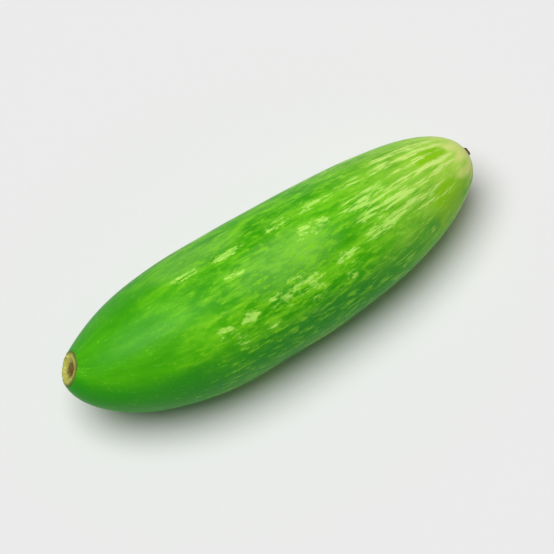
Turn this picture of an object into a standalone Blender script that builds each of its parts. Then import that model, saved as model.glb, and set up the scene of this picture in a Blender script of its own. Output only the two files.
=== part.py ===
"""Ivy gourd: one small green fruit, picked and lying on its side.

The fruit grew as one piece, so it is one closed solid. A turned profile gives
its girth from the stem scar to the tip, and a curved spine then carries that
round body: a short neck lifts and turns the scar end, and a long slight bow
runs on to the tip. A narrow flat underneath is what it rests on.

Metres, +Z up, tip towards +X. The origin is under the middle of the fruit, on
the surface it rests on.
"""
import math

import bpy
from mathutils import Vector

MM = 0.001

# Body
SPINE_LENGTH = 60.0 * MM        # stem scar to tip, along the middle of the fruit
GIRTH_DIAMETER = 18.8 * MM      # across the fattest place
GIRTH_PLACE = 22.5 * MM         # fattest place, measured from the stem scar
TIP_TAPER = 2.2                 # exponent along the tip half: higher stays fat longer
TIP_BLUNTNESS = 2.45            # exponent across the tip half: higher ends blunter

# Spine
NECK_TURN = math.radians(23.0)  # how far the scar end turns sideways, towards +Y
NECK_LIFT = math.radians(25.0)  # how far the scar end turns upwards
NECK_REACH = 5.0 * MM           # length in which the neck straightens out
BOW = math.radians(10.0)        # slight sideways bend of the whole fruit
REST_DIP = math.radians(1.5)    # the lighter tip half settles a little lower

# Stem scar
SCAR_DIAMETER = 4.6 * MM        # outside of the corky ring
PITH_DIAMETER = 2.6 * MM        # dried pith inside the ring
PITH_DEPTH = 0.5 * MM           # how far the pith is sunk
RING_RISE = 0.12 * MM           # how far the ring stands out at its crest

# Blossom pip
PIP_DIAMETER = 1.3 * MM         # dried point where the flower fell off
PIP_HEIGHT = 0.5 * MM

# Resting flat
FLAT_DEPTH = 0.22 * MM          # skin pressed flat where the fruit lies

# Fineness of the faceted solid
GIRTH_STEPS = 44
STEM_STATIONS = 17
TIP_STATIONS = 19
PITH_STATIONS = 3
PIP_STATIONS = 3
SPINE_STEPS = 240

SKIN_GREEN = (0.075, 0.40, 0.014, 1.0)
SKIN_ROUGHNESS = 0.38
SMOOTH_ANGLE = math.radians(40.0)


def clear_scene():
    """Remove whatever objects the file opened with."""
    for thing in list(bpy.data.objects):
        bpy.data.objects.remove(thing, do_unlink=True)


def new_collection(name):
    """Return a new collection linked to the scene."""
    collection = bpy.data.collections.new(name)
    bpy.context.scene.collection.children.link(collection)
    return collection


def skin_material():
    """Return the waxy green skin."""
    material = bpy.data.materials.new("skin")
    material.use_nodes = True
    shader = material.node_tree.nodes["Principled BSDF"]
    shader.inputs["Base Color"].default_value = SKIN_GREEN
    shader.inputs["Roughness"].default_value = SKIN_ROUGHNESS
    shader.inputs["Metallic"].default_value = 0.0
    return material


def stem_half():
    """Ellipse from the ring of the scar to the fattest place, as (radius, station)."""
    radius = GIRTH_DIAMETER / 2
    cut_back = math.sqrt(1 - (SCAR_DIAMETER / GIRTH_DIAMETER) ** 2)
    points = []
    for step in range(STEM_STATIONS):
        station = 1 - math.cos(math.pi / 2 * step / STEM_STATIONS)
        across = math.sqrt(1 - (cut_back * (1 - station)) ** 2)
        points.append((radius * across, GIRTH_PLACE * station))
    return points


def tip_radius(share):
    """Superellipse radius at a share, 0 to 1, of the way from the girth to the tip."""
    return GIRTH_DIAMETER / 2 * max(1 - share ** TIP_TAPER, 0.0) ** (1 / TIP_BLUNTNESS)


def tip_half():
    """Superellipse from the fattest place to the foot of the pip, as (radius, station)."""
    length = SPINE_LENGTH - GIRTH_PLACE
    foot = (1 - (PIP_DIAMETER / GIRTH_DIAMETER) ** TIP_BLUNTNESS) ** (1 / TIP_TAPER)
    last = math.asin(foot)
    points = []
    for step in range(TIP_STATIONS + 1):
        share = math.sin(last * step / TIP_STATIONS)
        points.append((tip_radius(share), GIRTH_PLACE + length * share))
    return points


def scar_face():
    """Elliptical bowl of the sunk pith, then the crest of the corky ring."""
    radius = PITH_DIAMETER / 2
    points = [(0.0, PITH_DEPTH)]
    for step in range(1, PITH_STATIONS + 1):
        angle = math.pi / 2 * step / PITH_STATIONS
        points.append((radius * math.sin(angle), PITH_DEPTH * math.cos(angle)))
    points.append(((SCAR_DIAMETER / 2 + radius) / 2, -RING_RISE))
    return points


def pip_point():
    """Elliptical dome of the pip standing on the tip, from its shoulder to its middle."""
    radius = PIP_DIAMETER / 2
    foot = tip_half()[-1][1]
    points = []
    for step in range(1, PIP_STATIONS):
        angle = math.pi / 2 * step / PIP_STATIONS
        points.append((radius * math.cos(angle), foot + PIP_HEIGHT * math.sin(angle)))
    points.append((0.0, foot + PIP_HEIGHT))
    return points


def turned_body(collection):
    """Screw the profile round Z, with the tip on top, and return the mesh."""
    outline = scar_face() + stem_half() + tip_half() + pip_point()
    outline.reverse()
    corners = [(radius, 0.0, station) for radius, station in outline]
    edges = [(index, index + 1) for index in range(len(corners) - 1)]
    profile = bpy.data.meshes.new("profile")
    profile.from_pydata(corners, edges, [])
    blank = bpy.data.objects.new("blank", profile)
    collection.objects.link(blank)
    screw = blank.modifiers.new("turn", "SCREW")
    screw.axis = "Z"
    screw.steps = GIRTH_STEPS
    screw.render_steps = GIRTH_STEPS
    screw.use_merge_vertices = True
    screw.merge_threshold = 0.00001
    graph = bpy.context.evaluated_depsgraph_get()
    mesh = bpy.data.meshes.new_from_object(blank.evaluated_get(graph))
    bpy.data.objects.remove(blank, do_unlink=True)
    mesh.name = "ivy_gourd"
    return mesh


def heading(station):
    """Sideways and upward angle of the spine at a distance from the scar."""
    neck = math.exp(-station / NECK_REACH)
    sideways = BOW * (station / SPINE_LENGTH - 0.5) - NECK_TURN * neck
    upwards = -REST_DIP - NECK_LIFT * neck
    return sideways, upwards


def spine_direction(station):
    """Unit vector along the spine, from scar to tip."""
    sideways, upwards = heading(station)
    return Vector((
        math.cos(sideways) * math.cos(upwards),
        math.sin(sideways) * math.cos(upwards),
        math.sin(upwards),
    ))


def spine_places():
    """Points along the spine at even steps, by adding up short straight runs."""
    run = SPINE_LENGTH / SPINE_STEPS
    places = [Vector((0.0, 0.0, 0.0))]
    for step in range(SPINE_STEPS):
        places.append(places[-1] + run * spine_direction((step + 0.5) * run))
    return places


def spine_point(places, station):
    """Point on the spine at a station, running straight on past either end."""
    run = SPINE_LENGTH / SPINE_STEPS
    index = min(max(int(station / run), 0), SPINE_STEPS)
    return places[index] + (station - index * run) * spine_direction(station)


def bend_along_spine(mesh):
    """Carry the standing body onto the spine: each level turns to face along it."""
    places = spine_places()
    for vertex in mesh.vertices:
        sideways, _ = heading(vertex.co.z)
        along = spine_direction(vertex.co.z)
        across = Vector((-math.sin(sideways), math.cos(sideways), 0.0))
        above = along.cross(across)
        middle = spine_point(places, vertex.co.z)
        vertex.co = middle + vertex.co.x * across + vertex.co.y * above


def resting_place(mesh):
    """Shift that centres the fruit over the origin and sinks it by the flat's depth."""
    across_x = [vertex.co.x for vertex in mesh.vertices]
    across_y = [vertex.co.y for vertex in mesh.vertices]
    lowest = min(vertex.co.z for vertex in mesh.vertices)
    return Vector((
        -(min(across_x) + max(across_x)) / 2,
        -(min(across_y) + max(across_y)) / 2,
        -lowest - FLAT_DEPTH,
    ))


def flat_cutter(collection):
    """Block below the resting surface that trims the belly flat."""
    side = 2 * SPINE_LENGTH
    bpy.ops.mesh.primitive_cube_add(size=side, location=(0.0, 0.0, -side / 2))
    cutter = bpy.context.active_object
    cutter.name = "flat_cutter"
    for home in list(cutter.users_collection):
        home.objects.unlink(cutter)
    collection.objects.link(cutter)
    cutter.hide_render = True
    cutter.display_type = "WIRE"
    return cutter


def build_gourd(collection, cutters):
    """Build the whole fruit and trim the flat it rests on."""
    mesh = turned_body(collection)
    bend_along_spine(mesh)
    mesh.materials.append(skin_material())
    mesh.shade_smooth()
    mesh.set_sharp_from_angle(angle=SMOOTH_ANGLE)
    gourd = bpy.data.objects.new("ivy_gourd", mesh)
    collection.objects.link(gourd)
    gourd.location = resting_place(mesh)
    trim = gourd.modifiers.new("resting flat", "BOOLEAN")
    trim.operation = "DIFFERENCE"
    trim.solver = "EXACT"
    trim.object = flat_cutter(cutters)
    return gourd


def main():
    """Clear the scene and build the gourd."""
    clear_scene()
    fruit = new_collection("ivy gourd")
    cutters = new_collection("cutters")
    build_gourd(fruit, cutters)


main()
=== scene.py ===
"""Looks of one ivy gourd lying on a pale floor.

The skin, the cork of the stem scar and the dried blossom pip are surfaces
worked out by formula round the same bent spine as the solid they stand for.
"""
import math
from types import SimpleNamespace

import bpy
import numpy as np
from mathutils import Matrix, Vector


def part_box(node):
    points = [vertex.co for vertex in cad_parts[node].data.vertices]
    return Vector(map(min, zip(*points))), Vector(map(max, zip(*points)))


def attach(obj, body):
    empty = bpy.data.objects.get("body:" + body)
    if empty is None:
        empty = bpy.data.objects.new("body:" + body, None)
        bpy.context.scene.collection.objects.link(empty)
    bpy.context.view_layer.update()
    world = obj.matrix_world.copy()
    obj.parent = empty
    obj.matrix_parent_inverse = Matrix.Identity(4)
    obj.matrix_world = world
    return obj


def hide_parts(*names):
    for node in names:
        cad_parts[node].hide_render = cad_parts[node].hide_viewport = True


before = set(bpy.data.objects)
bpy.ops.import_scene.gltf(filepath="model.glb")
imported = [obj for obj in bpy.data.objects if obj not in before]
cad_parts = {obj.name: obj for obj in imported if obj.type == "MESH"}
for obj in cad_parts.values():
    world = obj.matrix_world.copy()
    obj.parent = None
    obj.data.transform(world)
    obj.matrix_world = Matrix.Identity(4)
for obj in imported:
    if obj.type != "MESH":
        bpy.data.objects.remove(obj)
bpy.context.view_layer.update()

MM = 0.001

# Body, as in the solid
SPINE_LENGTH = 60.0 * MM
GIRTH_DIAMETER = 18.8 * MM
GIRTH_PLACE = 22.5 * MM
TIP_TAPER = 2.2
TIP_BLUNTNESS = 2.45
NECK_TURN = math.radians(23.0)
NECK_LIFT = math.radians(25.0)
NECK_REACH = 5.0 * MM
BOW = math.radians(10.0)
REST_DIP = math.radians(1.5)
SCAR_DIAMETER = 4.6 * MM
PIP_DIAMETER = 1.3 * MM
SEAT_DEPTH = 1.0 * MM           # skin hollowed behind the cork
SKIN_LENGTH = 68.0 * MM         # over the skin from end to end
BELLY_PRESS = 0.22 * MM
BELLY_SOFTNESS = 0.10 * MM      # how gently the pressed belly curves back up
BELLY_SINK = 0.002 * MM         # brings the pressed belly back down to the floor
PRESSED_REACH = 3.0 * MM        # height over which pressed skin turns back into free skin

# Unevenness of the grown skin
RIBS = 10
RIB_HEIGHT = 0.055 * MM
SWELL_HEIGHT = 0.12 * MM
DENT_HEIGHT = 0.022 * MM

# Cork of the stem scar
CORK_REACH = 1.06               # its radius as a share of the scar's
CORK_BACK = 0.75 * MM           # depth of its hidden back
CORK_FRONT = 0.85               # how far along its surface the seen side ends
CREST_HEIGHT = 0.20 * MM
KNUCKLE_HEIGHT = 0.09 * MM
CREASE_DEPTH = 0.06 * MM
EDGE_DROP = 0.34 * MM
PITH_DEPTH = 0.42 * MM
PITH_TEAR = 0.07 * MM
PITH_POINT = 0.22 * MM

# Dried pip, from its hidden foot to its hollow top: share of its radius, mm past the tip
PIP_OUTLINE = (
    (0.00, -0.90),
    (1.25, -0.80),
    (1.45, -0.10),
    (1.05, 0.06),
    (0.86, 0.22),
    (0.92, 0.36),
    (0.95, 0.50),
    (0.62, 0.58),
    (0.28, 0.47),
    (0.00, 0.42),
)
PIP_LOBES = 5

# Marks on the skin. Each place is its angle round in degrees, level with +Y at 0 and on
# top at 90, its share along, and how far it reaches round in degrees and along as a share.
FLECKED_PLACES = (
    (74, 0.32, 6, 0.04),
    (76, 0.41, 5, 0.04),
    (75, 0.52, 6, 0.04),
    (75, 0.61, 6, 0.05),
    (94, 0.40, 5, 0.03),
    (92, 0.575, 11, 0.055),
    (127, 0.485, 14, 0.075),
    (130, 0.33, 9, 0.025),
    (138, 0.355, 9, 0.022),
    (128, 0.385, 6, 0.025),
    (139, 0.42, 9, 0.022),
    (138, 0.525, 10, 0.03),
    (138, 0.60, 9, 0.03),
    (126, 0.60, 6, 0.04),
    (122, 0.69, 10, 0.05),
    (116, 0.77, 9, 0.04),
)
LINED_PLACES = (
    (74, 0.72, 8, 0.12),
    (95, 0.70, 8, 0.12),
    (108, 0.74, 8, 0.10),
    (124, 0.74, 12, 0.10),
    (68, 0.84, 14, 0.10),
    (102, 0.86, 12, 0.06),
)
GOLDEN_PLACES = (
    (88, 0.865, 13, 0.045),
    (148, 0.855, 26, 0.06),
)
# Pale hazy patches: painted sheen standing for soft highlights on the wax, partly also its
# bloom.
SHEEN_AND_BLOOM_PLACES = (
    (104, 0.50, 22, 0.12),
    (60, 0.36, 16, 0.10),
    (99, 0.80, 10, 0.05),
)
# The side that those places cover. Past it the marks are placed by noise alone.
SHOWN_SIDE = (105, 0.5, 80, 0.7)

# Finish of the skin
SKIN_GLOSS = 0.13
SKIN_ROUGHNESS = 0.45
FLESH_GLOW = 0.12               # share of the light that passes into the flesh
FLESH_GLOW_COLOUR = (0.6, 1.0, 0.25)
FLESH_GLOW_REACH = 1.2 * MM
MARK_HEIGHT = 0.010 * MM
MOTTLE_HEIGHT = 0.05 * MM
FIBRE_HEIGHT = 0.016 * MM
PORE_HEIGHT = 0.006 * MM
PORE_SPACING = 0.6 * MM

# Studio
FLOOR_SIZE = 8.0                # m
FLOOR_WHITE = 0.74
FILL_STRENGTH = 0.14
KEY_STRENGTH = 3.2
KEY_TOWARDS = (-0.26, 0.06, 1.0)
KEY_SPREAD = math.radians(42.0)
CAMERA_AZIMUTH = math.radians(-35.0)
CAMERA_ELEVATION = math.radians(63.0)
LENS = 200.0                    # mm
SENSOR_WIDTH = 36.0             # mm
VIEW_WIDTH = 1.14               # times the gourd's length
VIEW_DEPTH = 10.0               # m

# Fineness of the grids
AROUND = 288
STEM_RINGS = 96
TIP_RINGS = 152
SEAT_RINGS = 6
CORK_AROUND = 112
CORK_RINGS = 34
CORK_BACK_RINGS = 4
PIP_AROUND = 72
PIP_RINGS = 30
SPINE_STEPS = 2400


# Shapes

def heading(station):
    """Sideways and upward angle of the spine.

    Both turn by the neck's angle at the scar, which dies away exponentially,
    and the bow adds an even sideways turn from end to end.
    """
    neck = np.exp(-station / NECK_REACH)
    sideways = BOW * (station / SPINE_LENGTH - 0.5) - NECK_TURN * neck
    upwards = -REST_DIP - NECK_LIFT * neck
    return sideways, upwards


def spine_frames(station):
    """Middle, along, across and above at each station.

    Along is the unit vector of the heading, across is level and square to it,
    above is their cross product, and the middle is the running sum of along.
    """
    fine = np.linspace(0.0, SPINE_LENGTH, SPINE_STEPS + 1)
    halfway = (fine[1:] + fine[:-1]) / 2
    runs = direction(halfway) * (SPINE_LENGTH / SPINE_STEPS)
    path = np.vstack([np.zeros(3), np.cumsum(runs, axis=0)])
    inside = np.clip(station, 0.0, SPINE_LENGTH)
    middle = np.stack([np.interp(inside, fine, path[:, axis]) for axis in range(3)], axis=-1)
    along = direction(station)
    middle = middle + (station - inside)[..., None] * along
    sideways, _ = heading(station)
    level = np.zeros_like(sideways)
    across = np.stack([-np.sin(sideways), np.cos(sideways), level], axis=-1)
    above = np.cross(along, across)
    return middle, along, across, above


def direction(station):
    """Unit vector of the heading at each station."""
    sideways, upwards = heading(station)
    flat = np.cos(upwards)
    return np.stack([np.cos(sideways) * flat, np.sin(sideways) * flat, np.sin(upwards)], axis=-1)


def waves(place, size, seed, count=28):
    """Smooth unevenness of about unit height: sine waves in random directions, added up."""
    chance = np.random.default_rng(seed)
    ways = chance.normal(size=(count, 3))
    ways /= np.linalg.norm(ways, axis=1, keepdims=True)
    lengths = size * chance.uniform(0.7, 1.5, count)
    phases = chance.uniform(0.0, 2 * math.pi, count)
    total = np.zeros(place.shape[:-1])
    for way, length, phase in zip(ways, lengths, phases):
        total += np.sin(place @ way * (2 * math.pi / length) + phase)
    return total / math.sqrt(count / 2)


def smooth_rise(low, high, value):
    """0 below low, 1 above high, and an S-shaped cubic between them."""
    share = np.clip((value - low) / (high - low), 0.0, 1.0)
    return share * share * (3 - 2 * share)


def ring_angles(count):
    """Even angles round a section, starting underneath so that the seam is hidden."""
    return np.arange(count) * (2 * math.pi / count) - math.pi / 2


def skin_outline():
    """Radius and station from the scar's middle to the tip's middle.

    A seat under the cork, a quarter ellipse out to the girth, a quarter
    superellipse in to the tip, and a small seat under the pip.
    """
    girth = GIRTH_DIAMETER / 2
    cut_back = math.sqrt(1 - (SCAR_DIAMETER / GIRTH_DIAMETER) ** 2)
    turn = np.linspace(0.0, math.pi / 2, STEM_RINGS, endpoint=False)
    share = 1 - np.cos(turn)
    stem_radius = girth * np.sqrt(1 - (cut_back * (1 - share)) ** 2)
    stem_station = GIRTH_PLACE * share
    seat = np.linspace(0.0, 1.0, SEAT_RINGS + 1)[1:-1]
    seat_radius = SCAR_DIAMETER / 2 * seat
    seat_station = SEAT_DEPTH * (1 - seat ** 6)
    foot = (1 - (PIP_DIAMETER / GIRTH_DIAMETER) ** TIP_BLUNTNESS) ** (1 / TIP_TAPER)
    turn = np.linspace(0.0, math.asin(foot), TIP_RINGS)
    share = np.sin(turn)
    tip_radius = girth * (1 - share ** TIP_TAPER) ** (1 / TIP_BLUNTNESS)
    tip_station = GIRTH_PLACE + (SPINE_LENGTH - GIRTH_PLACE) * share
    last = np.linspace(1.0, 0.0, SEAT_RINGS + 1)[1:-1]
    last_radius = tip_radius[-1] * last
    last_station = np.full_like(last, tip_station[-1])
    radius = np.concatenate([[0.0], seat_radius, stem_radius, tip_radius, last_radius, [0.0]])
    station = np.concatenate(
        [[SEAT_DEPTH], seat_station, stem_station, tip_station, last_station, [tip_station[-1]]]
    )
    return radius, station


def run_along(radius, station):
    """Share of the way along an outline, by its own length."""
    runs = np.hypot(np.diff(radius), np.diff(station))
    length = np.concatenate([[0.0], np.cumsum(runs)])
    return length / length[-1]


def carried(reach, station, angles):
    """Grid of points: rings whose reach may vary round them, each at its station.

    A point is the spine's middle, plus reach times the cosine of its angle
    across, plus reach times the sine above.
    """
    middle, _, across, above = spine_frames(station)
    cosine = (reach * np.cos(angles))[..., None]
    sine = (reach * np.sin(angles))[..., None]
    return middle[:, None] + cosine * across[:, None] + sine * above[:, None]


def settle(points):
    """Press the belly flat: heights near the floor follow a soft maximum with zero."""
    height = points[..., 2]
    pressed = (height + np.sqrt(height ** 2 + BELLY_SOFTNESS ** 2)) / 2
    near = 1 - smooth_rise(0.0, PRESSED_REACH, height)
    points[..., 2] = height * (1 - near) + (pressed - BELLY_SINK) * near
    return points


def skin_grid():
    """Grid of the skin, its angles, and its share along.

    The turned outline is raised by low ribs, broad swellings and small dents,
    all of which fade out before the scar and the tip.
    """
    radius, station = skin_outline()
    angles = ring_angles(AROUND)
    along = run_along(radius, station)
    smooth = carried(radius[:, None], station, angles)
    fade = (smooth_rise(0.05, 0.28, along) * (1 - smooth_rise(0.80, 0.97, along)))[:, None]
    wander = waves(smooth, 34 * MM, seed=3) * 0.5
    rib = np.cos(RIBS * angles[None, :] + wander) * (0.7 + 0.4 * waves(smooth, 26 * MM, seed=5))
    swell = waves(smooth, 22 * MM, seed=8)
    dent = waves(smooth * [0.5, 1.0, 1.0], 4.5 * MM, seed=13)
    end_fade = (smooth_rise(0.0, 0.12, along) * (1 - smooth_rise(0.88, 1.0, along)))[:, None]
    lift = RIB_HEIGHT * rib * fade + (SWELL_HEIGHT * swell + DENT_HEIGHT * dent) * end_fade
    return carried(radius[:, None] + lift, station, angles), angles, along


def place_shift(points):
    """Shift that centres the skin in the solid's box and presses its belly on the floor."""
    low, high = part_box("ivy_gourd")
    flat = points.reshape(-1, 3)
    shift = (np.array(low) + np.array(high)) / 2 - (flat.min(axis=0) + flat.max(axis=0)) / 2
    shift[2] = low[2] - flat[:, 2].min() - BELLY_PRESS
    return shift


def scar_grid():
    """Cork of the stem scar, from its sunk middle over the ring and under to the back.

    Height over the seat is a raised ring, less a bowl in the middle, with
    knuckles round the ring, radial creases and a torn, uneven pith.
    """
    back = np.linspace(1.0, 0.0, CORK_BACK_RINGS + 1)[1:]
    rings = np.concatenate([np.linspace(0.0, 1.0, CORK_RINGS), back])
    front = np.arange(len(rings)) < CORK_RINGS
    out = np.where(front, CORK_FRONT * rings, 1 - (1 - CORK_FRONT) * rings)
    angles = ring_angles(CORK_AROUND)
    ring = rings[:, None]
    level = np.zeros((len(rings), len(angles)))
    place = np.stack([ring * np.cos(angles), ring * np.sin(angles), level], axis=-1)
    edge = 1 + 0.035 * waves(place, 1.1, seed=21) + 0.02 * np.cos(3 * angles)
    reach = SCAR_DIAMETER / 2 * CORK_REACH * ring * edge
    crest = np.exp(-((ring - 0.74) / 0.17) ** 2)
    bowl = 1 - smooth_rise(0.22, 0.66, ring)
    knuckle = 0.5 + 0.5 * np.cos(RIBS * angles + 1.2 * waves(place, 1.6, seed=22))
    crease = np.abs(waves(place, 0.42, seed=23))
    torn = waves(place, 0.24, seed=24)
    height = (CREST_HEIGHT + KNUCKLE_HEIGHT * knuckle) * crest
    height = height - PITH_DEPTH * bowl - CREASE_DEPTH * crease * (1 - bowl)
    height = height + PITH_TEAR * torn * bowl + PITH_POINT * np.exp(-(ring / 0.10) ** 2)
    height = height - EDGE_DROP * smooth_rise(0.90, 1.0, ring)
    station = np.where(front[:, None], -height, CORK_BACK)
    middle, along, across, above = spine_frames(np.zeros(1))
    cosine = (reach * np.cos(angles))[..., None] * across
    sine = (reach * np.sin(angles))[..., None] * above
    return middle + cosine + sine + station[..., None] * along, angles, out


def pip_grid():
    """Dried pip: the outline turned round the spine, with lobes and a little unevenness."""
    share = np.linspace(0.0, 1.0, PIP_RINGS)
    angles = ring_angles(PIP_AROUND)
    _, outline_station = skin_outline()
    radius, rise = np.array(PIP_OUTLINE).T
    knots = np.linspace(0.0, 1.0, len(radius))
    station = outline_station[-1] + np.interp(share, knots, rise * MM)
    reach = np.interp(share, knots, radius * PIP_DIAMETER / 2)[:, None]
    lobes = 1 + 0.10 * np.cos(PIP_LOBES * angles) * smooth_rise(0.3, 0.7, share)[:, None]
    ring = share[:, None]
    level = ring * np.ones_like(angles)
    place = np.stack([ring * np.cos(angles), ring * np.sin(angles), level], axis=-1)
    uneven = 1 + 0.05 * waves(place, 0.5, seed=31)
    return carried(reach * lobes * uneven, station, angles), angles, share


def side_by_side(*values):
    """Arrays and numbers stretched to one shape and stacked on a new last axis."""
    return np.stack(np.broadcast_arrays(*values), axis=-1)


def closed_surface(name, points, angles, along):
    """Mesh object of a grid of rings whose first and last rings are single points.

    It carries a square map for baking, and the attribute "rind": cosine and
    sine of the angle round it, and the share of the way along it.
    """
    rings, around = points.shape[0] - 2, points.shape[1]
    corners = np.vstack([points[0, :1], points[1:-1].reshape(-1, 3), points[-1, :1]])
    last = len(corners) - 1
    column = np.arange(around)
    after = (column + 1) % around
    row = 1 + np.arange(rings)[:, None] * around
    start = np.stack([np.zeros(around, int), row[0] + after, row[0] + column], axis=1)
    end = np.stack([np.full(around, last), row[-1] + column, row[-1] + after], axis=1)
    quads = np.stack([
        row[:-1] + column, row[:-1] + after, row[1:] + after, row[1:] + column
    ], axis=-1).reshape(-1, 4)
    loops = np.concatenate([start.ravel(), quads.ravel(), end.ravel()])
    sides = np.concatenate([np.full(around, 3), np.full(len(quads), 4), np.full(around, 3)])
    mesh = bpy.data.meshes.new(name)
    mesh.vertices.add(len(corners))
    mesh.vertices.foreach_set("co", corners.ravel())
    mesh.loops.add(len(loops))
    mesh.loops.foreach_set("vertex_index", loops)
    mesh.polygons.add(len(sides))
    mesh.polygons.foreach_set("loop_start", np.concatenate([[0], np.cumsum(sides)[:-1]]))
    mesh.update(calc_edges=True)
    mesh.shade_smooth()

    left = column / around
    right = (column + 1) / around
    middle = (left + right) / 2
    up = along[1:-1, None]
    start_map = side_by_side(middle, 0.0, right, along[1], left, along[1])
    quad_map = side_by_side(left, up[:-1], right, up[:-1], right, up[1:], left, up[1:])
    end_map = side_by_side(middle, 1.0, left, along[-2], right, along[-2])
    corner_map = np.concatenate([start_map.ravel(), quad_map.ravel(), end_map.ravel()])
    bake_map = mesh.uv_layers.new(name="OFBake")
    bake_map.uv.foreach_set("vector", corner_map.astype(np.float32))

    ring_rind = side_by_side(np.cos(angles), np.sin(angles), up)
    rind = np.vstack([[[0, 0, along[0]]], ring_rind.reshape(-1, 3), [[0, 0, along[-1]]]])
    attribute = mesh.attributes.new("rind", "FLOAT_VECTOR", "POINT")
    attribute.data.foreach_set("vector", rind.astype(np.float32).ravel())

    piece = bpy.data.objects.new(name, mesh)
    bpy.context.scene.collection.objects.link(piece)
    return piece


# Materials

class Field:
    """A number that varies over a surface. Arithmetic on it adds Math nodes."""

    def __init__(self, tree, socket):
        self.tree = tree
        self.socket = socket

    def _math(self, operation, *values):
        node = self.tree.nodes.new("ShaderNodeMath")
        node.operation = operation
        for slot, value in zip(node.inputs, values):
            connect(self.tree, value, slot)
        return Field(self.tree, node.outputs[0])

    def __add__(self, other):
        return self._math("ADD", self, other)

    def __sub__(self, other):
        return self._math("SUBTRACT", self, other)

    def __rsub__(self, other):
        return self._math("SUBTRACT", other, self)

    def __mul__(self, other):
        return self._math("MULTIPLY", self, other)

    def __truediv__(self, other):
        return self._math("DIVIDE", self, other)

    __radd__ = __add__

    def fraction(self):
        return self._math("FRACT", self)

    def magnitude(self):
        return self._math("ABSOLUTE", self)

    def largest(self, other):
        return self._math("MAXIMUM", self, other)

    def angle_from(self, other):
        return self._math("ARCTAN2", self, other)

    def rise(self, low, high, bottom=0.0, top=1.0):
        """Smooth step from bottom to top as this goes from low to high."""
        node = self.tree.nodes.new("ShaderNodeMapRange")
        node.interpolation_type = "SMOOTHSTEP"
        for name, value in (
            ("Value", self), ("From Min", low), ("From Max", high),
            ("To Min", bottom), ("To Max", top),
        ):
            connect(self.tree, value, node.inputs[name])
        return Field(self.tree, node.outputs["Result"])


def connect(tree, value, slot):
    """Link a field or socket to an input, or set a plain value on it."""
    if isinstance(value, Field):
        tree.links.new(value.socket, slot)
    elif isinstance(value, bpy.types.NodeSocket):
        tree.links.new(value, slot)
    else:
        slot.default_value = value


class Paint:
    """A material being painted: its nodes, and the surface's own measures."""

    def __init__(self, name):
        self.material = bpy.data.materials.new(name)
        self.material.use_nodes = True
        self.tree = self.material.node_tree
        self.shader = self.tree.nodes["Principled BSDF"]
        self.place = self.tree.nodes.new("ShaderNodeTexCoord").outputs["Object"]
        rind = self.tree.nodes.new("ShaderNodeAttribute")
        rind.attribute_name = "rind"
        split = self.tree.nodes.new("ShaderNodeSeparateXYZ")
        self.tree.links.new(rind.outputs["Vector"], split.inputs[0])
        cosine, sine, along = (Field(self.tree, output) for output in split.outputs)
        self.cosine = cosine
        self.sine = sine
        self.along = along
        self.around = sine.angle_from(cosine) / (2 * math.pi)

    def vector(self, x, y, z):
        """A vector from three fields or numbers."""
        node = self.tree.nodes.new("ShaderNodeCombineXYZ")
        for value, slot in zip((x, y, z), node.inputs):
            connect(self.tree, value, slot)
        return node.outputs[0]

    def noise(self, where, scale, detail=2.0, roughness=0.5):
        """Noise between about -0.5 and 0.5."""
        node = self.tree.nodes.new("ShaderNodeTexNoise")
        node.noise_dimensions = "3D"
        connect(self.tree, where, node.inputs["Vector"])
        node.inputs["Scale"].default_value = scale
        node.inputs["Detail"].default_value = detail
        node.inputs["Roughness"].default_value = roughness
        return Field(self.tree, node.outputs[0]) - 0.5

    def cells(self, where, scale):
        """Distance to the middle of the nearest of many scattered cells."""
        node = self.tree.nodes.new("ShaderNodeTexVoronoi")
        node.voronoi_dimensions = "3D"
        node.feature = "F1"
        connect(self.tree, where, node.inputs["Vector"])
        node.inputs["Scale"].default_value = scale
        return Field(self.tree, node.outputs["Distance"])

    def grown(self, size, stretch, seed):
        """Place on the skin in steps of a size in mm across, and stretch times that along."""
        across = GIRTH_DIAMETER / 2 / (size * MM)
        lengthwise = SKIN_LENGTH / (size * stretch * MM)
        x = self.cosine * across + seed
        y = self.sine * across - seed
        return self.vector(x, y, self.along * lengthwise + seed * 0.7)

    def growth(self, size, stretch, seed, detail=2.0, roughness=0.5):
        """Noise that follows the skin, in steps of that size and stretch."""
        return self.noise(self.grown(size, stretch, seed), 1.0, detail, roughness)

    def mix(self, share, first, second):
        """Colour that goes from first to second as share goes from 0 to 1."""
        node = self.tree.nodes.new("ShaderNodeMix")
        node.data_type = "RGBA"
        connect(self.tree, share, node.inputs[0])
        connect(self.tree, first, node.inputs[6])
        connect(self.tree, second, node.inputs[7])
        return node.outputs[2]

    def finish(self, colour, roughness, height):
        """Colour, roughness and a bump from a height in metres."""
        connect(self.tree, colour, self.shader.inputs["Base Color"])
        connect(self.tree, roughness, self.shader.inputs["Roughness"])
        bump = self.tree.nodes.new("ShaderNodeBump")
        bump.inputs["Strength"].default_value = 1.0
        bump.inputs["Distance"].default_value = 1.0
        connect(self.tree, height, bump.inputs["Height"])
        self.tree.links.new(bump.outputs[0], self.shader.inputs["Normal"])
        return self.material


def rgb(red, green, blue):
    """Linear colour from the 0 to 255 values that a painter's chart gives."""
    values = []
    for value in (red, green, blue):
        share = value / 255
        values.append(share / 12.92 if share <= 0.04045 else ((share + 0.055) / 1.055) ** 2.4)
    return (*values, 1.0)


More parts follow.
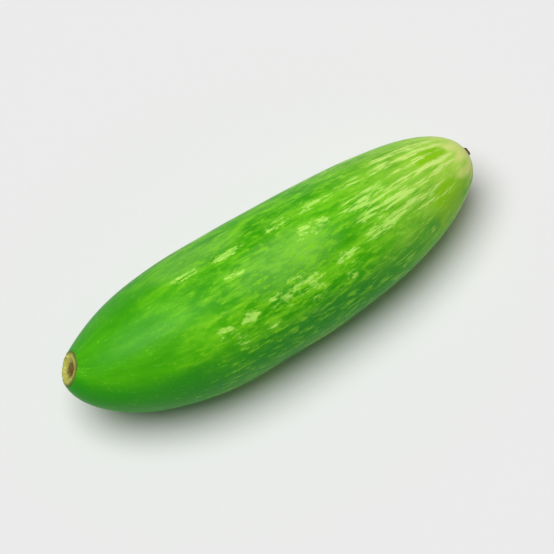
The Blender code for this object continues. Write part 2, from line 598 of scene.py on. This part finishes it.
# Colours of the skin, the cork and the pip
DEEP_GREEN = rgb(50, 150, 2)
LEAF_GREEN = rgb(82, 180, 6)
LIGHT_GREEN = rgb(124, 204, 28)
# Painted sheen colour, partly waxy bloom
SHEEN_AND_BLOOM_GREEN = rgb(136, 196, 84)
# Painted shade greens for both edges of the gourd
SHADE_PAINT_GREEN = rgb(18, 138, 0)
SHADE_PAINT_TIP_GREEN = rgb(76, 180, 0)
CREAMY_GREEN = rgb(156, 208, 64)
RIPE_YELLOW = rgb(134, 196, 6)
CAP_GREEN = rgb(184, 226, 84)
CAP_CREAM = rgb(228, 234, 136)
PALE_MARK = rgb(176, 232, 96)
CAP_MARK = rgb(208, 236, 126)
SPECK_TAN = rgb(146, 140, 44)
CORK_TAN = rgb(196, 200, 98)
CORK_STRAW = rgb(150, 146, 48)
PITH_BROWN = rgb(104, 84, 14)
RIM_OLIVE = rgb(84, 104, 14)
PIP_DARK = rgb(62, 44, 18)
PIP_BROWN = rgb(112, 82, 34)
PIP_FOOT = rgb(168, 160, 84)


def wandering_lines(paint, size, stretch, width, seed):
    """Thin pale lines, mostly lengthwise: where a drawn-out noise passes its middle value."""
    level = paint.growth(size, stretch, seed, detail=3.0, roughness=0.55)
    return 1 - level.magnitude().rise(width * 0.35, width)


def rows(paint, count, wander, width, seed):
    """Lengthwise rows, 1 on a row's middle and 0 a width away, bent by broad and small noise."""
    bend = paint.growth(9.0, 1.6, seed) * wander
    kink = paint.growth(1.6, 1.2, seed + 5.0) * wander * 0.25
    off = ((paint.around * count + bend + kink + seed).fraction() - 0.5).magnitude()
    return 1 - off.rise(width * 0.2, width)


def places(paint, spots):
    """Soft ovals on the skin: 1 in the middle of each place, falling to 0 past its reach."""
    total = None
    for angle, along, reach_around, reach_along in spots:
        around = (paint.around - angle / 360) * (360 / reach_around)
        lengthwise = (paint.along - along) * (1 / reach_along)
        spot = 1 - (around * around + lengthwise * lengthwise).rise(0.1, 1.4)
        total = spot if total is None else total.largest(spot)
    return total


def flecks(paint, size, stretch, favour, cover, softness, seed):
    """Pale flecks: a drawn-out noise, helped by a favour, held against a level."""
    level = paint.growth(size, stretch, seed, detail=3.5, roughness=0.70)
    return (level + favour - cover).rise(0.0, softness)


def skin_zones(paint):
    """Parts of the skin, each as 0 to 1, and the noises that vary it.

    Middle, tip and cap rise along the length, a painted shade rises on the
    -Y side, ridge is 1 on each of the lengthwise ridges, and lined and far_side are
    soft ovals. Blotch makes the cap's edge uneven.
    """
    along = paint.along
    # Painted shade: 1 on the low -Y edge, where it darkens the green, thins the marks and holds
    # back the cream, standing for shade falling there.
    painted_shade = (0 - paint.cosine).rise(0.72, 1.0)
    blotch = paint.growth(2.2, 1.4, seed=61.0)
    return SimpleNamespace(
        middle=along.rise(0.12, 0.42),
        tip=along.rise(0.60, 0.88),
        cap=(along + blotch * 0.16 - painted_shade * 0.035).rise(0.82, 0.97),
        painted_shade=painted_shade,
        ridge=rows(paint, 30, wander=0.6, width=0.6, seed=0.30),
        lined=places(paint, LINED_PLACES),
        far_side=1 - places(paint, (SHOWN_SIDE,)),
        blotch=blotch,
        broad=paint.noise(paint.place, 1 / (15 * MM), detail=1.5),
        mottle=paint.growth(2.6, 2.2, seed=3.0, detail=4.0, roughness=0.62),
        fibre=paint.growth(0.75, 4.0, seed=7.0, detail=2.5, roughness=0.6),
        patch=paint.growth(6.0, 1.8, seed=12.0),
        gap=paint.growth(4.0, 2.2, seed=37.0),
    )


def skin_marks(paint, skin):
    """Marks on the skin, each 1 on a mark and 0 off it.

    Lines are hair-thin, dashes are short and faint, flecks are bright and
    stand in the flecked places, and streaks follow the ridges to the tip.
    Pores are round and even, and specks are few and tan.
    """
    showy = places(paint, FLECKED_PLACES)
    where = skin.gap * 0.7 + skin.patch * 0.6 + skin.middle * 0.22 + skin.tip * 0.03
    # Fewer fine lines on the low -Y edge: painted shade.
    where = (where - skin.painted_shade * 0.12 - 0.18).rise(0.0, 0.10)
    lines = wandering_lines(paint, 1.5, 6.0, width=0.040, seed=17.0) * where

    favour = skin.middle * 0.14 - skin.tip * 0.03
    dashes = flecks(paint, 0.62, 3.6, favour, cover=0.15, softness=0.12, seed=31.0)

    row = rows(paint, 20, wander=0.5, width=0.5, seed=0.39)
    # Fewer bright flecks on the low -Y edge: painted shade hiding them.
    favour = row * 0.10 + showy * 0.30 + skin.middle * 0.07 - skin.painted_shade * 0.10
    favour = favour + skin.far_side * (skin.gap * 0.55 + skin.middle * 0.08 + 0.04)
    bright = flecks(paint, 0.62, 2.6, favour, cover=0.37, softness=0.17, seed=41.0)
    bright = bright * (skin.fibre * 2.6 + skin.mottle * 1.5 + 0.86).rise(0.0, 1.0)

    favour = skin.ridge * 0.20 + skin.lined * 0.14 + paint.along.rise(0.45, 0.85) * 0.13
    # Fewer streaks on the low -Y edge: painted shade.
    favour = favour + skin.blotch * 0.2 - skin.painted_shade * 0.12
    streaks = flecks(paint, 0.6, 7.0, favour, cover=0.36, softness=0.14, seed=23.0)

    pores = 1 - paint.cells(paint.place, 1 / PORE_SPACING).rise(0.10, 0.24)
    specks = flecks(paint, 1.3, 1.5, 0.0, cover=0.22, softness=0.07, seed=47.0)
    return SimpleNamespace(
        lines=lines, dashes=dashes, flecks=bright, streaks=streaks, pores=pores, specks=specks
    )


def skin_ground(paint, skin):
    """Colour under the marks.

    Deep to leaf green by broad noise and mottling, then light green, a painted
    sheen of pale hazy patches that also stands for waxy bloom, a creamy and a greener-yellow
    tip, painted shade deepening both flanks and the -Y edge, and ripe yellow places.
    """
    mottle, middle, tip, painted_shade = skin.mottle, skin.middle, skin.tip, skin.painted_shade
    # Painted shade: on the low -Y edge the tone, the light green and the cream are lowered.
    tone = skin.broad + mottle * (middle * 0.8 + 1.1) + 0.42 + middle * 0.12 - painted_shade * 0.25
    colour = paint.mix(tone.rise(0.0, 1.0), DEEP_GREEN, LEAF_GREEN)
    lively = (mottle * 3.2 + skin.fibre * 3.0) * (middle * 0.7 + 0.3)
    lively = lively + middle * 0.45 - painted_shade * 0.18
    colour = paint.mix(lively.rise(0.0, 1.2) * 0.75, colour, LIGHT_GREEN)
    # Painted sheen: pale hazy patches for soft highlights on the wax, partly its bloom.
    sheen_and_bloom = places(paint, SHEEN_AND_BLOOM_PLACES)
    sheen_and_bloom = sheen_and_bloom + skin.far_side * (skin.patch - 0.06).rise(0.0, 0.14) * middle
    colour = paint.mix(sheen_and_bloom * 0.32, colour, SHEEN_AND_BLOOM_GREEN)
    cream = (mottle * 1.4 + 0.70 - painted_shade * 0.25).rise(0.0, 1.0)
    colour = paint.mix(cream * tip * (0.72 + skin.ridge * 0.40), colour, CREAMY_GREEN)
    colour = paint.mix(skin.cap.rise(0.0, 0.5) * 0.75, colour, CAP_GREEN)
    # Painted shade: both edges of the gourd, the -Y edge most, turned a deeper green as if shade
    # fell there.
    edge_shade = (painted_shade * 0.70 + paint.cosine.rise(0.45, 0.92) * 0.36) * (1 - tip * 0.2)
    colour = paint.mix(edge_shade, colour, paint.mix(tip, SHADE_PAINT_GREEN, SHADE_PAINT_TIP_GREEN))
    ripe = places(paint, GOLDEN_PLACES)
    ripe = ripe + skin.far_side * tip * (skin.blotch + skin.patch).rise(0.0, 0.12)
    return paint.mix((ripe + mottle * ripe).rise(0.0, 1.0) * 0.92, colour, RIPE_YELLOW)


def skin_material():
    """Waxy green skin: fine pale strokes all over, rows of bright flecks, a creamy tip."""
    paint = Paint("gourd_skin")
    skin = skin_zones(paint)
    marks = skin_marks(paint, skin)
    tip = skin.tip

    colour = skin_ground(paint, skin)
    dash_colour = paint.mix(tip, LIGHT_GREEN, CAP_GREEN)
    colour = paint.mix(marks.dashes * (0.75 - tip * 0.25), colour, dash_colour)
    line_share = marks.lines * (skin.far_side * 0.6 + skin.lined * 0.5 + 0.1)
    colour = paint.mix(line_share, colour, PALE_MARK)
    colour = paint.mix(marks.flecks * 0.95, colour, PALE_MARK)
    pore_share = marks.pores * (0.12 + skin.mottle * 0.6).rise(0.0, 0.3) * 0.3
    colour = paint.mix(pore_share, colour, PALE_MARK)
    colour = paint.mix(marks.specks * 0.5, colour, SPECK_TAN)
    colour = paint.mix(skin.cap.rise(0.40, 1.0) * 0.80, colour, CAP_CREAM)
    colour = paint.mix(marks.streaks * 0.92, colour, paint.mix(tip, PALE_MARK, CAP_MARK))

    roughness = skin.mottle * 0.12 + marks.flecks * 0.06 + skin.fibre * 0.06 + SKIN_ROUGHNESS
    raised = (marks.lines + marks.flecks + marks.streaks) * MARK_HEIGHT
    height = raised + skin.mottle * MOTTLE_HEIGHT + skin.fibre * FIBRE_HEIGHT
    height = height + marks.pores * PORE_HEIGHT
    shader = paint.shader
    shader.inputs["Specular IOR Level"].default_value = SKIN_GLOSS
    shader.inputs["Subsurface Weight"].default_value = FLESH_GLOW
    shader.inputs["Subsurface Radius"].default_value = FLESH_GLOW_COLOUR
    shader.inputs["Subsurface Scale"].default_value = FLESH_GLOW_REACH
    return paint.finish(colour, roughness, height)


def cork_material():
    """Dry cork: tan ring, brown sunk pith and an olive outer edge."""
    paint = Paint("scar_cork")
    out = paint.along
    fibre_place = paint.vector(paint.cosine * 7.0, paint.sine * 7.0, out * 5.0)
    fibre = paint.noise(fibre_place, 1.0, detail=4.0, roughness=0.65)
    speck = paint.noise(paint.place, 1 / (0.22 * MM), detail=3.0)
    colour = paint.mix((fibre * 2.4 + speck * 1.4).rise(-0.5, 0.6), CORK_STRAW, CORK_TAN)
    colour = paint.mix(1 - (out + fibre * 0.16).rise(0.28, 0.48), colour, PITH_BROWN)
    colour = paint.mix((out + fibre * 0.10).rise(0.60, 0.76), colour, RIM_OLIVE)
    roughness = speck * 0.2 + 0.72
    height = fibre * (0.06 * MM) + speck * (0.03 * MM)
    return paint.finish(colour, roughness, height)


def pip_material():
    """Dried dark brown remnant of the blossom, paler at its foot."""
    paint = Paint("dried_pip")
    wrinkle = paint.noise(paint.place, 1 / (0.3 * MM), detail=4.0, roughness=0.6)
    colour = paint.mix((wrinkle * 2.0).rise(-0.7, 0.9), PIP_DARK, PIP_BROWN)
    colour = paint.mix(1 - (paint.along + wrinkle * 0.1).rise(0.22, 0.42), colour, PIP_FOOT)
    roughness = wrinkle * 0.2 + 0.7
    return paint.finish(colour, roughness, wrinkle * (0.05 * MM))


# Object

def build_gourd():
    """Skin, cork and pip, each riding on the one body."""
    points, angles, along = skin_grid()
    shift = place_shift(points)
    skin = closed_surface("gourd_skin", settle(points + shift), angles, along)
    skin.data.materials.append(skin_material())
    scar_points, scar_angles, out = scar_grid()
    scar = closed_surface("stem_scar", scar_points + shift, scar_angles, out)
    scar.data.materials.append(cork_material())
    pip_points, pip_angles, share = pip_grid()
    pip = closed_surface("blossom_pip", pip_points + shift, pip_angles, share)
    pip.data.materials.append(pip_material())
    for piece in (skin, scar, pip):
        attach(piece, "root")
    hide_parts("ivy_gourd")


# Studio

def build_floor():
    """Wide plain pale floor."""
    bpy.ops.mesh.primitive_plane_add(size=FLOOR_SIZE)
    floor = bpy.context.active_object
    floor.name = "floor"
    material = bpy.data.materials.new("floor_white")
    material.use_nodes = True
    shader = material.node_tree.nodes["Principled BSDF"]
    shader.inputs["Base Color"].default_value = (FLOOR_WHITE, FLOOR_WHITE, FLOOR_WHITE, 1.0)
    shader.inputs["Roughness"].default_value = 0.8
    shader.inputs["Specular IOR Level"].default_value = 0.0
    floor.data.materials.append(material)


def soft_sun(name, towards, spread, strength):
    """Even light from one direction, spread over an angle so that its shadows are soft."""
    light = bpy.data.lights.new(name, "SUN")
    light.angle = spread
    light.energy = strength
    lamp = bpy.data.objects.new(name, light)
    bpy.context.scene.collection.objects.link(lamp)
    lamp.rotation_euler = Vector(towards).to_track_quat("Z", "Y").to_euler()


def build_lights():
    """A broad key light from nearly overhead, and dim white surroundings.

    Seen directly, the surroundings are as bright as the lit floor, so the
    floor has no visible far edge.
    """
    world = bpy.data.worlds.new("studio_white")
    world.use_nodes = True
    tree = world.node_tree
    background = tree.nodes["Background"]
    seen = tree.nodes.new("ShaderNodeLightPath").outputs["Is Camera Ray"]
    towards = Vector(KEY_TOWARDS).normalized()
    floor_light = FLOOR_WHITE * (KEY_STRENGTH * towards.z / math.pi + FILL_STRENGTH)
    strength = Field(tree, seen) * (floor_light - FILL_STRENGTH) + FILL_STRENGTH
    connect(tree, strength, background.inputs["Strength"])
    background.inputs["Color"].default_value = (1.0, 1.0, 1.0, 1.0)
    bpy.context.scene.world = world
    soft_sun("key_light", towards, KEY_SPREAD, KEY_STRENGTH)


def build_camera():
    """Long lens above the near side, with the gourd rising to the right."""
    low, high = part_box("ivy_gourd")
    centre = (Vector(low) + Vector(high)) / 2
    back = Vector((
        math.sin(CAMERA_AZIMUTH) * math.cos(CAMERA_ELEVATION),
        -math.cos(CAMERA_AZIMUTH) * math.cos(CAMERA_ELEVATION),
        math.sin(CAMERA_ELEVATION),
    ))
    camera = bpy.data.cameras.new("camera")
    camera.lens = LENS
    camera.sensor_width = SENSOR_WIDTH
    camera.clip_end = VIEW_DEPTH
    distance = VIEW_WIDTH * (high[0] - low[0]) * LENS / SENSOR_WIDTH
    holder = bpy.data.objects.new("camera", camera)
    bpy.context.scene.collection.objects.link(holder)
    holder.location = centre + back * distance
    holder.rotation_euler = (-back).to_track_quat("-Z", "Y").to_euler()
    bpy.context.scene.camera = holder
    bpy.context.scene.view_settings.view_transform = "Standard"


build_gourd()
build_floor()
build_lights()
build_camera()
